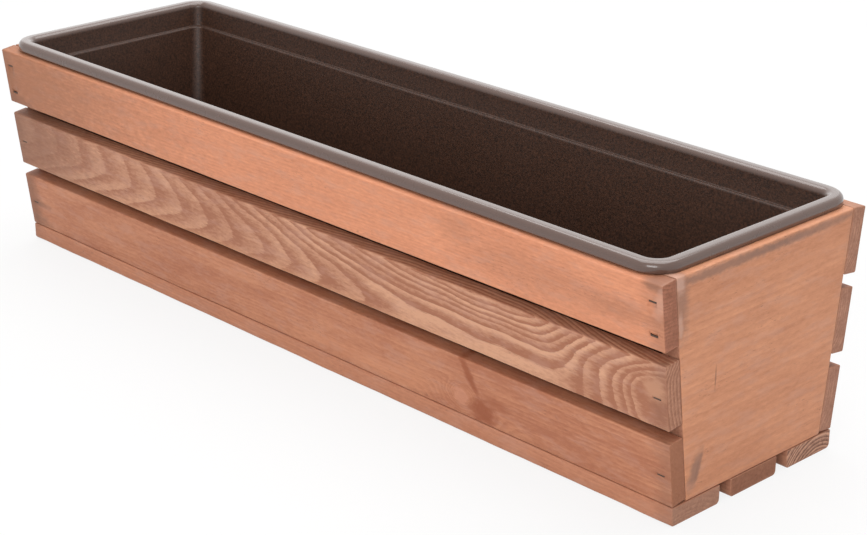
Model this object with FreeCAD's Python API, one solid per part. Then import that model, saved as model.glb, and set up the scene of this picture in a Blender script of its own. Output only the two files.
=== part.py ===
import FreeCAD, Part

import math
import os

Vector = FreeCAD.Vector

# Slatted window box planter with a lift-out liner. Millimetres, +Z up, +X along the length, the front
# towards -Y. The origin is on the ground, under the middle of the box.

# ---- Driving dimensions -------------------------------------------------------------------------------
box_length = 762.0           # over the end boards, and the length of every slat
inner_width = 150.0          # between the long sides, on top of the floor slats
lean = 7.3                   # degrees that each long side leans outward

slat_width = 50.0            # side slats, three to a long side
slat_thickness = 14.5
slat_gap = 10.0
end_thickness = 16.0         # the two end boards

floor_slat_width = 52.0      # three floor slats, spread evenly under the box
floor_thickness = 15.0

eased_edge = 1.2             # radius sanded onto the long edges of the slats and the ends' upper edges
floor_edge = 3.5             # larger radius on the two lower edges of a floor slat

staple_crown = 7.5           # over the two legs
staple_wire = 1.2            # width of the wire across the crown, and of each leg
staple_gauge = 1.0           # thickness of the wire
staple_bend = 0.8            # cut of the bend between the crown and a leg
staple_leg = 25.0            # from the back of the crown to the tip
staple_sunk = 0.5            # depth of the crown's back below the wood
staple_inset = 9.5           # middle of the crown from the end of a slat
single_staple = [0.46]       # staple heights, as shares of a side slat's width
paired_staples = [0.21, 0.72]
floor_staples = [0.25, 0.75] # shares of a floor slat's width under an end board

liner_wall = 2.0
liner_clearance = 1.5        # between the liner's wall and the wood beside it, at the mouth
rim_reach = 11.5             # from the liner's wall to the outer edge of the rim
rim_height = 8.0
rim_corner = 22.0            # corner radii in plan
mouth_corner = 11.0
tub_corner = 9.0
rim_outer_round = 3.0        # radii in section
rim_inner_round = 5.0
shoulder_round = 1.4
floor_round = 7.0
shoulder_drop = 15.0         # from the rim's seat down to the shoulder
shoulder_width = 3.0
liner_draft = 7.3            # degrees that the liner's walls close in towards its floor
floor_clearance = 13.0       # from the floor slats up to the underside of the liner

# ---- Sizes worked out from them -----------------------------------------------------------------------
half_length = box_length / 2
lean_sin = math.sin(math.radians(lean))
lean_cos = math.cos(math.radians(lean))
lean_tan = math.tan(math.radians(lean))

rows = ["bottom", "middle", "top"]
sides = {"front": -1, "back": 1}
ends = {"left": -1, "right": 1}

# A bottom slat stands on its outer lower corner, so its inner corner is a little above the floor slats.
slat_foot = slat_thickness * lean_sin
slat_pitch = slat_width + slat_gap
side_run = len(rows) * slat_pitch - slat_gap
crate_top = floor_thickness + slat_foot + side_run * lean_cos
outer_foot = inner_width / 2 + slat_foot * lean_tan + slat_thickness * lean_cos
floor_pitch = outer_foot - floor_slat_width / 2

# The rim rests on the end boards, so the liner is set out from the crate's top and inner faces.
draft_tan = math.tan(math.radians(liner_draft))
rim_top = crate_top + rim_height
shoulder = crate_top - shoulder_drop
ledge = shoulder + liner_wall            # the shoulder as it shows inside the liner
liner_under = floor_thickness + floor_clearance
mouth_x = half_length - end_thickness - liner_clearance
mouth_y = inner_width / 2 + (crate_top - floor_thickness) * lean_tan - liner_clearance

hair = 0.01                  # how near counts as touching, when edges are picked by their place


def inner_face(z):
    """Distance from the middle plane to the inner face of a leaning side, at height z."""
    return inner_width / 2 + (z - floor_thickness) * lean_tan


# ---- Boards -------------------------------------------------------------------------------------------
def board(outline, length, start_x):
    """A straight board: an outline of (y, z) corners carried along X."""
    corners = [Vector(start_x, y, z) for y, z in outline]
    face = Part.Face(Part.makePolygon(corners + corners[:1]))
    return face.extrude(Vector(length, 0, 0))


def long_edges(shape, lowest=0.0, highest=crate_top):
    """The edges of a board that run along X, between two heights."""
    found = []
    for edge in shape.Edges:
        first, last = edge.Vertexes[0].Point, edge.Vertexes[-1].Point
        if abs(first.x - last.x) > hair and lowest - hair < first.z < highest + hair:
            found.append(edge)
    return found


def on_side(side, along, out):
    """The (y, z) of a point on a long side: along its slope from the foot, and out from its inner face."""
    foot_y = inner_face(floor_thickness + slat_foot)
    y = foot_y + along * lean_sin + out * lean_cos
    z = floor_thickness + slat_foot + along * lean_cos - out * lean_sin
    return side * y, z


def side_slat(side, row):
    """One leaning slat, nailed flat on the sloping edges of the end boards."""
    low = row * slat_pitch
    high = low + slat_width
    outline = [
        on_side(side, low, 0),
        on_side(side, high, 0),
        on_side(side, high, slat_thickness),
        on_side(side, low, slat_thickness),
    ]
    slat = board(outline, box_length, -half_length)
    return slat.makeFillet(eased_edge, long_edges(slat))


def floor_slat(place):
    """One floor slat, with its lower edges rounded more than its upper ones."""
    middle = place * floor_pitch
    low, high = middle - floor_slat_width / 2, middle + floor_slat_width / 2
    outline = [(low, 0), (high, 0), (high, floor_thickness), (low, floor_thickness)]
    slat = board(outline, box_length, -half_length)
    slat = slat.makeFillet(floor_edge, long_edges(slat, highest=0.0))
    return slat.makeFillet(eased_edge, long_edges(slat, lowest=floor_thickness))


def end_board(end):
    """A solid end, wider at the top, that stands on the floor slats between the two leaning sides."""
    low, high = inner_face(floor_thickness), inner_face(crate_top)
    outline = [(-low, floor_thickness), (low, floor_thickness), (high, crate_top), (-high, crate_top)]
    inner_x = half_length - end_thickness
    plate = board(outline, end_thickness, inner_x if end > 0 else -half_length)
    upper = []
    for edge in plate.Edges:
        room = edge.BoundBox
        if room.ZMin > crate_top - hair and room.YLength > high:
            upper.append(edge)
    return plate.makeFillet(eased_edge, upper)


# ---- Staples ------------------------------------------------------------------------------------------
def staple():
    """A staple at the origin: crown along X, its back at z = 0, and two chisel-pointed legs down."""
    half, inside = staple_crown / 2, staple_crown / 2 - staple_wire
    flat = half - staple_bend
    right_half = [
        (flat, 0),
        (half, -staple_bend),
        (half, staple_wire - staple_leg),
        (inside, -staple_leg),
        (inside, -staple_gauge),
    ]
    left_half = [(-x, z) for x, z in reversed(right_half)]
    corners = [Vector(x, -staple_wire / 2, z) for x, z in right_half + left_half]
    face = Part.Face(Part.makePolygon(corners + corners[:1]))
    return face.extrude(Vector(0, staple_wire, 0))


def crown_slot():
    """What the driven crown leaves open above it in the wood."""
    slot = Part.makeBox(staple_crown, staple_wire, staple_sunk)
    slot.translate(Vector(-staple_crown / 2, -staple_wire / 2, 0))
    return slot


def driven(shape, x, y, z, tilt):
    """The shape turned about X, so that its legs point into the wood, and put at (x, y, z)."""
    placed = shape.copy()
    placed.rotate(Vector(0, 0, 0), Vector(1, 0, 0), tilt)
    placed.translate(Vector(x, y, z))
    return placed


def side_places(side, row):
    """Where the staples of a side slat go: the middle of each crown's back, and its tilt."""
    shares = paired_staples if rows[row] == "top" else single_staple
    tilt = -side * (90 + lean)
    places = []
    for end in ends.values():
        for share in shares:
            y, z = on_side(side, row * slat_pitch + share * slat_width, slat_thickness - staple_sunk)
            places.append((end * (half_length - staple_inset), y, z, tilt))
    return places


def floor_places(place):
    """Where the staples of a floor slat go: driven upward, into the part of it that an end board covers."""
    foot = inner_face(floor_thickness)
    low = max(place * floor_pitch - floor_slat_width / 2, -foot)
    high = min(place * floor_pitch + floor_slat_width / 2, foot)
    places = []
    for end in ends.values():
        for share in floor_staples:
            y = low + share * (high - low)
            places.append((end * (half_length - staple_inset), y, staple_sunk, 180))
    return places


# ---- Liner --------------------------------------------------------------------------------------------
def wall(z, corner, step=0.0, skin=0.0):
    """The plan of the liner's outer wall at height z: half sizes, corner radius and height.

    A step brings it in past the shoulder, and a skin gives the inside of the wall."""
    inset = (crate_top - z) * draft_tan + step + skin
    return mouth_x - inset, mouth_y - inset, corner - skin, z


def rim_plan(z, skin=0.0):
    """The plan of the rim's upright skirt at height z, or of its inside."""
    return mouth_x + rim_reach - skin, mouth_y + rim_reach - skin, rim_corner - skin, z


def between(lower, upper):
    """The solid with flat walls between two plans, rounded where the walls meet."""
    outlines = []
    for half_x, half_y, _, z in [lower, upper]:
        signs = [(1, 1), (-1, 1), (-1, -1), (1, -1)]
        outlines.append([Vector(sign_x * half_x, sign_y * half_y, z) for sign_x, sign_y in signs])
    below, above = outlines
    for this, following in [(0, 1), (1, 2), (2, 3), (3, 0)]:
        outlines.append([below[this], below[following], above[following], above[this]])
    outlines[0] = below[::-1]
    faces = [Part.Face(Part.makePolygon(outline + outline[:1])) for outline in outlines]
    block = Part.makeSolid(Part.makeShell(faces))
    rising = [edge for edge in block.Edges if edge.BoundBox.ZLength > hair]
    return block.makeFillet(lower[2], rising)


def edges_round(shape, plan):
    """The edges of a shape that run round a plan."""
    half_x, half_y, _, z = plan
    found = []
    for edge in shape.Edges:
        points = edge.discretize(3)
        reach_x = max(abs(point.x) for point in points)
        reach_y = max(abs(point.y) for point in points)
        level = all(abs(point.z - z) < hair for point in points)
        inside = reach_x < half_x + hair and reach_y < half_y + hair
        touching = reach_x > half_x - hair or reach_y > half_y - hair
        if level and inside and touching:
            found.append(edge)
    return found


def rounded(shape, radius, plan):
    """The shape with the edges round a plan filleted."""
    return shape.makeFillet(radius, edges_round(shape, plan))


def liner_outside():
    """The full outer form: tapered tub, near-upright band above the shoulder, and the rim."""
    foot = wall(liner_under, tub_corner, shoulder_width)
    tub = rounded(between(foot, wall(shoulder, tub_corner, shoulder_width)), floor_round, foot)
    band = between(wall(shoulder, mouth_corner), wall(crate_top, mouth_corner))
    rim = rounded(between(rim_plan(crate_top), rim_plan(rim_top)), rim_outer_round, rim_plan(rim_top))
    return rim.fuse([band, tub])


def liner_inside():
    """The room for soil, one wall's thickness inside the tub and the band, open through the rim."""
    floor = wall(liner_under + liner_wall, tub_corner, shoulder_width, liner_wall)
    cup = between(floor, wall(ledge, tub_corner, shoulder_width, liner_wall))
    throat = between(wall(ledge, mouth_corner, 0, liner_wall), wall(rim_top, mouth_corner, 0, liner_wall))
    return rounded(cup, floor_round - liner_wall, floor).fuse(throat)


def rim_groove():
    """The hollow under the rim, between its skirt and the band, open downward."""
    groove_top = rim_top - liner_wall
    ring = between(rim_plan(crate_top, liner_wall), rim_plan(groove_top, liner_wall))
    return ring.cut(between(wall(crate_top, mouth_corner), wall(rim_top, mouth_corner)))


def liner():
    """The lift-out tub, thin-walled throughout, with its mouth and its shoulder rounded over."""
    shell = liner_outside().cut(rim_groove()).cut(liner_inside()).removeSplitter()
    shell = rounded(shell, rim_inner_round, wall(rim_top, mouth_corner, 0, liner_wall))
    shell = rounded(shell, shoulder_round, wall(ledge, mouth_corner, 0, liner_wall))
    return rounded(shell, shoulder_round, wall(ledge, tub_corner, shoulder_width, liner_wall))


# ---- The whole planter --------------------------------------------------------------------------------
def assemble():
    """Every piece by name. Each staple lies in a hole of its own shape in the boards that it joins."""
    pieces = {}
    stapled = []
    for name, side in sides.items():
        for row, row_name in enumerate(rows):
            node = f"{name}_slat_{row_name}"
            pieces[node] = side_slat(side, row)
            stapled.append((node, side_places(side, row)))
    for place, name in zip([-1, 0, 1], ["front", "middle", "back"]):
        node = f"floor_slat_{name}"
        pieces[node] = floor_slat(place)
        stapled.append((node, floor_places(place)))
    for name, end in ends.items():
        pieces[f"end_board_{name}"] = end_board(end)

    for node, places in stapled:
        staples = [driven(staple(), *place) for place in places]
        slots = [driven(crown_slot(), *place) for place in places]
        pieces[node] = pieces[node].cut(staples + slots)
        for end_name in ends:
            board_node = f"end_board_{end_name}"
            pieces[board_node] = pieces[board_node].cut(staples)
        pieces[f"{node}_staples"] = Part.makeCompound(staples)

    pieces["liner"] = liner()
    return pieces


os.makedirs("parts", exist_ok=True)
for node_name, solid in assemble().items():
    solid.exportStep(f"parts/{node_name}.step")
    box = solid.BoundBox
    print(f"{node_name:28s} solids {len(solid.Solids)}  valid {solid.isValid()}", end="  ")
    print(f"volume {solid.Volume:10.1f} mm3  size {box.XLength:.1f} x {box.YLength:.1f} x {box.ZLength:.1f}")
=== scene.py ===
# %% [markdown]
# # A slatted window box planter
# This lesson dresses a planter for its portrait: a long crate of stained pine slats with a brown plastic
# liner dropped into it. The solid model fixes every size and place, so it comes in first as a fixed frame.
# Each cell adds one thing: a measure, a mesh, a shader group, a finish, a lamp. Nothing is moved to fit.

# %% The frame
import math

import bpy
import numpy as np
from mathutils import Matrix, Vector, noise


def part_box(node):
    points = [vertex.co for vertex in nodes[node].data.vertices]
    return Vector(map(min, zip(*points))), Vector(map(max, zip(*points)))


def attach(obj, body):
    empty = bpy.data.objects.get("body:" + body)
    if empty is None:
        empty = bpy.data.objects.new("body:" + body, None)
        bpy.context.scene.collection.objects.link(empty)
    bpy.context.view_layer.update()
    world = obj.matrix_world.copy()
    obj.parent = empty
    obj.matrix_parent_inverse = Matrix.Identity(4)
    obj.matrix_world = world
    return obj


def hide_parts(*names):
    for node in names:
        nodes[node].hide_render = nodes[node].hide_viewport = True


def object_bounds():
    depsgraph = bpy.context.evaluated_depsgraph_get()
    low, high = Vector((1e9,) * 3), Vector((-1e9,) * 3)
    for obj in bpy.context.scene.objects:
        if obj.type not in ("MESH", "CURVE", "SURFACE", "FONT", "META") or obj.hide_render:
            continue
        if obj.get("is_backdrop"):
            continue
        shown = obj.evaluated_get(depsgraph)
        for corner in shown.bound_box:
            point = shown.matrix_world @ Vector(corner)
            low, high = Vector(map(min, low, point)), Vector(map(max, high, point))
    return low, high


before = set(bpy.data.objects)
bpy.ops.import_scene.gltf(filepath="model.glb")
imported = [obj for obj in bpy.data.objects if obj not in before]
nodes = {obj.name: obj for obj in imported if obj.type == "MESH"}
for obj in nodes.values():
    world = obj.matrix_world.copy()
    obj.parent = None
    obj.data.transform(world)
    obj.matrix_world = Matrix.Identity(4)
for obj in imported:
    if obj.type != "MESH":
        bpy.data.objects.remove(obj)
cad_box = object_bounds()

MM = 0.001

# %% [markdown]
# ## Where every board lies
# A slat leans with its side of the crate, so its own axes are not the world's. If a board is modelled lying
# flat, with X along the grain, Y across it and Z out of its best face, then one turn puts it in place. The
# grain can later be drawn in those same axes, which is how a sawn board carries its figure around with it.
# The lean is read from the frame: it is the way from a bottom slat's middle to a top slat's middle.

# %% Lean of the sides
def middle(node):
    """The middle of a node's box."""
    low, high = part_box(node)
    return (low + high) / 2


rise = middle("back_slat_top") - middle("back_slat_bottom")
lean = math.atan2(rise.y, rise.z)
print(f"the sides lean outward by {math.degrees(lean):.2f} degrees")


# %% Axes of a board
def turned(up, out):
    """The turn from a board's own axes (along the grain, up its face, out of its face) to the frame's."""
    up, out = Vector(up), Vector(out)
    return Matrix((up.cross(out), up, out)).transposed()


def leaning(side):
    """The axes of a board on a leaning side: side is -1 for the front and 1 for the back."""
    up = (0, side * math.sin(lean), math.cos(lean))
    out = (0, side * math.cos(lean), -math.sin(lean))
    return turned(up, out)


axes = {}
for row in ("bottom", "middle", "top"):
    axes[f"front_slat_{row}"] = leaning(-1)
    axes[f"back_slat_{row}"] = leaning(1)
for place in ("front", "middle", "back"):
    axes[f"floor_slat_{place}"] = turned((0, -1, 0), (0, 0, -1))
axes["end_board_left"] = turned((0, 0, 1), (-1, 0, 0))
axes["end_board_right"] = turned((0, 0, 1), (1, 0, 0))
print("boards:", len(axes))


# %% Size of a board
def corners(node, turn=Matrix.Identity(3)):
    """A node's mesh points, one to a row, in the axes of a turn."""
    mesh = nodes[node].data
    flat = np.empty(3 * len(mesh.vertices), np.float32)
    mesh.vertices.foreach_get("co", flat)
    return flat.reshape(-1, 3).astype(float) @ np.array(turn)


def measured(node):
    """The half sizes of a board and its middle, in the board's own axes."""
    points = corners(node, axes[node])
    low, high = points.min(0), points.max(0)
    return (high - low) / 2, (high + low) / 2


half_slat, _ = measured("front_slat_top")
print("a slat is", " x ".join(f"{2 * size / MM:.1f}" for size in half_slat), "mm")

# %% [markdown]
# ## A board's skin
# A real slat is never a perfect box. Its long edges are sanded by hand, so the rounding swells and shrinks
# along the length, and its faces are not quite flat. A bevel modifier gives the same radius everywhere, so
# the skin is built as a grid instead: grid lines run over all six sides, and the lines near an edge say how
# far round the curve they are. Each point can then be given its own radius.

# %% Grid lines
TURNS = [math.tan(math.radians(angle)) for angle in (45, 30, 15)]


def grid_lines(half, soft, places):
    """Lines across one side: (share of the flat part, how far round the edge as a tangent)."""
    reach = half - soft
    flat = sorted({-1.0, 1.0, *(place / reach for place in places if abs(place) < reach)})
    before = [(-1.0, turn) for turn in TURNS]
    after = [(1.0, turn) for turn in reversed(TURNS)]
    return np.array(before + [(share, 0.0) for share in flat] + after)


print("lines across a 50 mm face:", len(grid_lines(25 * MM, 1 * MM, [0.0])))


# %% The box's skin
def skin(counts):
    """Grid places of a box's surface points, and its quads, for a number of lines along each side."""
    on_surface = np.zeros(counts, bool)
    on_surface[[0, -1], :, :] = True
    on_surface[:, [0, -1], :] = True
    on_surface[:, :, [0, -1]] = True
    ids = np.full(counts, -1)
    ids[on_surface] = np.arange(on_surface.sum())
    quads = []
    sheets = [(ids[-1], ids[0]), (ids[:, 0], ids[:, -1]), (ids[:, :, -1], ids[:, :, 0])]
    for outward, inward in sheets:
        for sheet in (outward, inward.T):
            quad = [sheet[:-1, :-1], sheet[1:, :-1], sheet[1:, 1:], sheet[:-1, 1:]]
            quads.append(np.stack([part.ravel() for part in quad], 1))
    return np.argwhere(on_surface), np.vstack(quads)


places, quads = skin((3, 3, 3))
print("a 3 x 3 x 3 skin has", len(places), "points and", len(quads), "quads")

# %% [markdown]
# ## Staple slots
# The slats are fixed with narrow staples, driven a little below the wood. The frame holds the staples, so
# the board only needs the slot above each crown. Four extra grid lines each way mark out a slot, and the
# points between the inner two are pushed down. That is cheaper and cleaner than cutting with a boolean.

# %% Crowns
SLOT_MARGIN = 0.2 * MM
SLOT_WALL = 0.12 * MM
SLOT_DEPTH = 1.7 * MM
CROWN_DEPTH = 1.0 * MM       # points this close to a staple's back belong to its crown
CROWN_REACH = 9 * MM         # and points of one crown are closer together than this


def crowns(node):
    """The middle and half sizes of each crown of a board's staples, on the board's face."""
    _, centre = measured(node)
    points = corners(f"{node}_staples", axes[node]) - centre
    backs = points[points[:, 2] > points[:, 2].max() - CROWN_DEPTH]
    found = []
    for point in backs:
        near = [group for group in found if np.abs(group[0][:2] - point[:2]).max() < CROWN_REACH]
        if near:
            near[0].append(point)
        else:
            found.append([point])
    slots = []
    for group in found:
        low, high = np.min(group, 0)[:2], np.max(group, 0)[:2]
        slots.append(((low + high) / 2, (high - low) / 2 + SLOT_MARGIN))
    return slots


print("crowns in the top front slat:", len(crowns("front_slat_top")))

# %% [markdown]
# ## Hand-worn edges
# Sandpaper takes more off where the hand leans on it. A smooth random curve along each of the four long
# edges says how round that edge is there, and every other point of the board mixes the four. A second,
# slower random field lets the faces lie a few tenths of a millimetre low, and never proud, so that the
# dressed board stays inside the solid one.

# %% Rounding of the long edges
EDGE_ROUND = 1.2 * MM        # least rounding of a long edge
END_ROUND = 0.7 * MM         # sawn ends are left crisper
WORN_MORE = 0.5              # a fully worn place is rounder by this share
WORN_OVER = 38 * MM          # length over which the rounding changes


def edge_rounding(along, seed, face_round):
    """How round the four long edges are at each line: an array (line, lower or upper, in or out)."""
    rounding = np.empty((len(along), 2, 2))
    for line, x in enumerate(along):
        for edge in range(4):
            where = Vector((x / WORN_OVER, 7.3 * edge, seed))
            worn = 0.5 + 0.5 * noise.noise(where) + 0.25 * noise.noise(where * 3.1)
            base = face_round if edge % 2 == 1 else EDGE_ROUND
            rounding[line, edge // 2, edge % 2] = base * (1 + WORN_MORE * max(worn, 0))
    return rounding


sample = edge_rounding(np.linspace(-half_slat[0], half_slat[0], 100), 1.0, EDGE_ROUND) / MM
print(f"the edges of a slat are rounded {sample.min():.2f} to {sample.max():.2f} mm")


# %% Lines of one board
LINE_STEP = 5 * MM
LINE_ROOM = 0.3 * MM         # least room between an even line and the side of a slot
SOFT_ROOM = 1.8              # room for the rounding, as a share of its least radius


def board_lines(half, slots, face_round):
    """Grid lines along a board's three axes, with extra ones at the sides of its slots."""
    cuts = [[], [], []]
    for heart, reach in slots:
        for axis in (0, 1):
            for sign in (-1, 1):
                rim = heart[axis] + sign * reach[axis]
                cuts[axis] += [rim, rim - sign * SLOT_WALL]
    lines = []
    for axis, size in enumerate(half):
        steps = int(size / LINE_STEP)
        even = [size * step / max(steps, 1) for step in range(-steps, steps + 1)]
        clear = [x for x in even if all(abs(x - cut) > LINE_ROOM for cut in cuts[axis])]
        soft = END_ROUND if axis == 0 else SOFT_ROOM * face_round
        lines.append(grid_lines(size, soft, clear + cuts[axis]))
    return lines


lines = board_lines(half_slat, crowns("front_slat_top"), EDGE_ROUND)
print("lines along, up and through a slat:", [len(line) for line in lines])


# %% Rounded skin
def rounded_skin(half, lines, rounding):
    """The skin's points with rounded edges, the way out at each point, and the quads."""
    index, faces = skin([len(line) for line in lines])
    share = np.stack([lines[axis][index[:, axis], 0] for axis in range(3)], 1)
    turn = np.stack([lines[axis][index[:, axis], 1] for axis in range(3)], 1)
    rounding = rounding[index[:, 0]]
    upper = (share[:, 1:2] + 1) / 2
    outer = (share[:, 2:3] + 1) / 2
    low_mix = rounding[:, 0, 0:1] * (1 - outer) + rounding[:, 0, 1:2] * outer
    high_mix = rounding[:, 1, 0:1] * (1 - outer) + rounding[:, 1, 1:2] * outer
    soft = low_mix * (1 - upper) + high_mix * upper
    soft = np.hstack([np.full_like(soft, END_ROUND), soft, soft])
    out = np.sign(share) * turn
    out /= np.linalg.norm(out, axis=1, keepdims=True)
    return share * (half - soft) + soft * out, out, faces


rounding = edge_rounding(lines[0][:, 0] * half_slat[0], 1.0, EDGE_ROUND)
points, out, faces = rounded_skin(half_slat, lines, rounding)
print("a slat's skin:", len(points), "points,", len(faces), "quads")


# %% Faces that are not quite flat
FACE_LOW = 0.13 * MM         # least depth of a planed face under the solid's
FACE_SAG = 0.22 * MM         # and how much more a low place has
SAG_OVER = (70, 25, 25)      # size of a low place, in millimetres


def sink_faces(points, out, seed):
    """Moves each point in by a slow random amount."""
    for row, point in enumerate(points):
        where = Vector([place / size for place, size in zip(point, SAG_OVER)]) / MM
        sag = 0.5 + 0.5 * noise.noise(where + Vector((seed, 3 * seed, 0)))
        points[row] = point - out[row] * (FACE_LOW + FACE_SAG * min(max(sag, 0), 1))


before = points.copy()
sink_faces(points, out, 1.0)
depths = np.linalg.norm(points - before, axis=1) / MM
print(f"faces lie {depths.min():.2f} to {depths.max():.2f} mm low")


# %% Board mesh
def board_points(half, slots, seed, taper=0.0, face_round=EDGE_ROUND):
    """Points, quads and marks (edges, sawn ends) of one board in its own axes."""
    lines = board_lines(half, slots, face_round)
    rounding = edge_rounding(lines[0][:, 0] * half[0], seed, face_round)
    points, out, faces = rounded_skin(half, lines, rounding)
    sink_faces(points, out, seed)
    for heart, reach in slots:
        off = np.abs(points[:, :2] - heart)
        inside = (off < reach - SLOT_WALL / 2).all(1) & (out[:, 2] > 0.99)
        points[inside, 2] -= SLOT_DEPTH
    edge = np.clip((1 - np.abs(out).max(1)) / (1 - math.sqrt(0.5)), 0, 1)
    end = out[:, 0] ** 2
    points[:, 0] *= 1 + taper * (points[:, 1] - half[1]) / half[0]
    return points, faces, {"edge": edge, "end": end}


points, faces, marks = board_points(half_slat, crowns("front_slat_top"), 1.0)
print("a slat's marks:", ", ".join(marks))


# %% Board object
def mesh_object(name, points, faces, marks):
    """A smooth-shaded mesh object with named float marks on its points."""
    mesh = bpy.data.meshes.new(name)
    mesh.from_pydata([tuple(point) for point in points], [], [tuple(face) for face in faces])
    for mark, values in marks.items():
        layer = mesh.attributes.new(mark, "FLOAT", "POINT")
        layer.data.foreach_set("value", np.asarray(values, np.float32))
    mesh.shade_smooth()
    mesh.update()
    thing = bpy.data.objects.new(name, mesh)
    bpy.context.scene.collection.objects.link(thing)
    return thing


def board(node, seed, taper=0.0, face_round=EDGE_ROUND):
    """The dressed board that stands for a wooden node, with a slot over each of its staples."""
    half, centre = measured(node)
    slots = crowns(node) if f"{node}_staples" in nodes else []
    points, faces, marks = board_points(half, slots, seed, taper, face_round)
    piece = mesh_object(f"{node}_wood", points, faces, marks)
    turn = axes[node]
    piece.matrix_world = Matrix.Translation(turn @ Vector(centre)) @ turn.to_4x4()
    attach(piece, "crate")
    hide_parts(node)
    return piece


print("boards with staples:", sum(f"{node}_staples" in nodes for node in axes))

# %% [markdown]
# ## All eleven boards
# The end boards are sawn to a taper, so that the leaning slats lie flat on them. The floor slats had the two
# edges of their lower face rounded off with a router, because the box is slid about on them.

# %% Boards
FLOOR_FACE_ROUND = 2.6 * MM  # least rounding of a floor slat's two lower edges
BOARD_SEED_STEP = 11.7
boards = {}
for number, node in enumerate(axes):
    taper = math.tan(lean) if node.startswith("end") else 0.0
    face_round = FLOOR_FACE_ROUND if node.startswith("floor") else EDGE_ROUND
    boards[node] = board(node, BOARD_SEED_STEP * number, taper, face_round)
print("points in the dressed boards:", [len(piece.data.vertices) for piece in boards.values()])

# %% [markdown]
# ## The liner
# The liner is one thin moulding. Every level of it is a rounded rectangle, so it can be lofted: walk once
# round its section, from under the rim, over the rim, down the inside and back up the outside, and make a
# ring at every step. Walking the section as a path with rounded corners keeps each bend's radius a number.

# %% Liner sizes
liner_low, liner_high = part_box("liner")
RIM_HEIGHT = 8 * MM
RIM_REACH = 11.5 * MM
WALL = 2 * MM
DRAFT = math.tan(math.radians(7.3))
SHOULDER_DROP = 15 * MM
SHOULDER_WIDTH = 3 * MM
seat = liner_high.z - RIM_HEIGHT
mouth_half = (liner_high.x - RIM_REACH, liner_high.y - RIM_REACH)
print("the liner's mouth is", " x ".join(f"{2 * size / MM:.1f}" for size in mouth_half), "mm")


# %% A path with rounded corners
def rounded_path(stops):
    """Points of a path in section: stops are (out, height, radius, pieces of arc) at its corners."""
    path = []
    for this, (out, height, radius, pieces) in enumerate(stops):
        here = Vector((out, height))
        if radius == 0 or this in (0, len(stops) - 1):
            path.append(here)
            continue
        to_last = (Vector(stops[this - 1][:2]) - here).normalized()
        to_next = (Vector(stops[this + 1][:2]) - here).normalized()
        half_angle = to_last.angle(to_next) / 2
        heart = here + (to_last + to_next).normalized() * radius / math.sin(half_angle)
        first = here + to_last * radius / math.tan(half_angle) - heart
        last = here + to_next * radius / math.tan(half_angle) - heart
        sweep = first.angle(last)
        for piece in range(pieces + 1):
            share = piece / pieces
            spoke = first * math.sin((1 - share) * sweep) + last * math.sin(share * sweep)
            path.append(heart + spoke / math.sin(sweep))
    return path


corner = rounded_path([(0, 0, 0, 0), (1, 0, 0.2, 4), (1, 1, 0, 0)])
print("a corner with four pieces of arc has", len(corner), "points")


# %% Section of the liner
def wall_out(height, step=0.0):
    """How far out the drafted wall is at a height, from the mouth, less a step."""
    return -(seat - height) * DRAFT - step


top, floor_top, floor_under = liner_high.z, liner_low.z + WALL, liner_low.z
ledge = seat - SHOULDER_DROP + WALL
groove = top - WALL
FLOOR_EDGE = -60 * MM        # ring where the flat middle of the floor starts
inside = [
    (RIM_REACH - WALL, groove, 0.8 * MM, 3),
    (RIM_REACH - WALL, seat, 0.7 * MM, 3),
    (RIM_REACH, seat, 0.7 * MM, 3),
    (RIM_REACH, top, 4.6 * MM, 10),
    (wall_out(top, WALL), top, 5.6 * MM, 12),
    (wall_out(ledge, WALL), ledge, 1.0 * MM, 4),
    (wall_out(ledge, WALL + SHOULDER_WIDTH), ledge, 1.9 * MM, 7),
    (wall_out(floor_top, WALL + SHOULDER_WIDTH), floor_top, 6 * MM, 8),
    (FLOOR_EDGE, floor_top, 0, 0),
]
outside = [
    (FLOOR_EDGE, floor_under, 0, 0),
    (wall_out(floor_under, SHOULDER_WIDTH), floor_under, 7 * MM, 8),
    (wall_out(seat - SHOULDER_DROP, SHOULDER_WIDTH), seat - SHOULDER_DROP, 1.2 * MM, 4),
    (wall_out(seat - SHOULDER_DROP), seat - SHOULDER_DROP, 1.2 * MM, 4),
    (wall_out(groove), groove, 0.8 * MM, 3),
]
inner_section = rounded_path([(wall_out(groove), groove, 0, 0)] + inside)
section = inner_section + rounded_path(outside + [inside[0]])[:-1]
print("rings in the liner:", len(section), "of them seen from above:", len(inner_section))


# %% One ring
LONG_PIECES, SHORT_PIECES, CORNER_PIECES = 44, 12, 12


def ring(half_x, half_y, corner):
    """A rounded rectangle as points (x, y), the same number for any size."""
    points = []
    for quarter, (sign_x, sign_y) in enumerate([(1, 1), (-1, 1), (-1, -1), (1, -1)]):
        centre = (sign_x * (half_x - corner), sign_y * (half_y - corner))
        for piece in range(CORNER_PIECES + 1):
            angle = math.radians(90 * (quarter + piece / CORNER_PIECES))
            points.append((centre[0] + corner * math.cos(angle), centre[1] + corner * math.sin(angle)))
        last = points[-1]
        if quarter % 2 == 0:
            end, pieces = (-centre[0], last[1]), LONG_PIECES
        else:
            end, pieces = (last[0], -centre[1]), SHORT_PIECES
        for piece in range(1, pieces):
            share = piece / pieces
            points.append((last[0] + (end[0] - last[0]) * share, last[1] + (end[1] - last[1]) * share))
    return points


MOUTH_CORNER = 11 * MM
print("points in a ring:", len(ring(*mouth_half, MOUTH_CORNER)))


# %% Corners of the liner
TUB_CORNER = 8 * MM          # inside radius where the tub starts, under the shoulder
FOOT_CORNER = 13 * MM        # and near its floor
FOOT_FLAT = 3 * MM           # how far the floor runs in from the wall before its rings get sharper
LEAST_CORNER = 1.5 * MM


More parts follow.
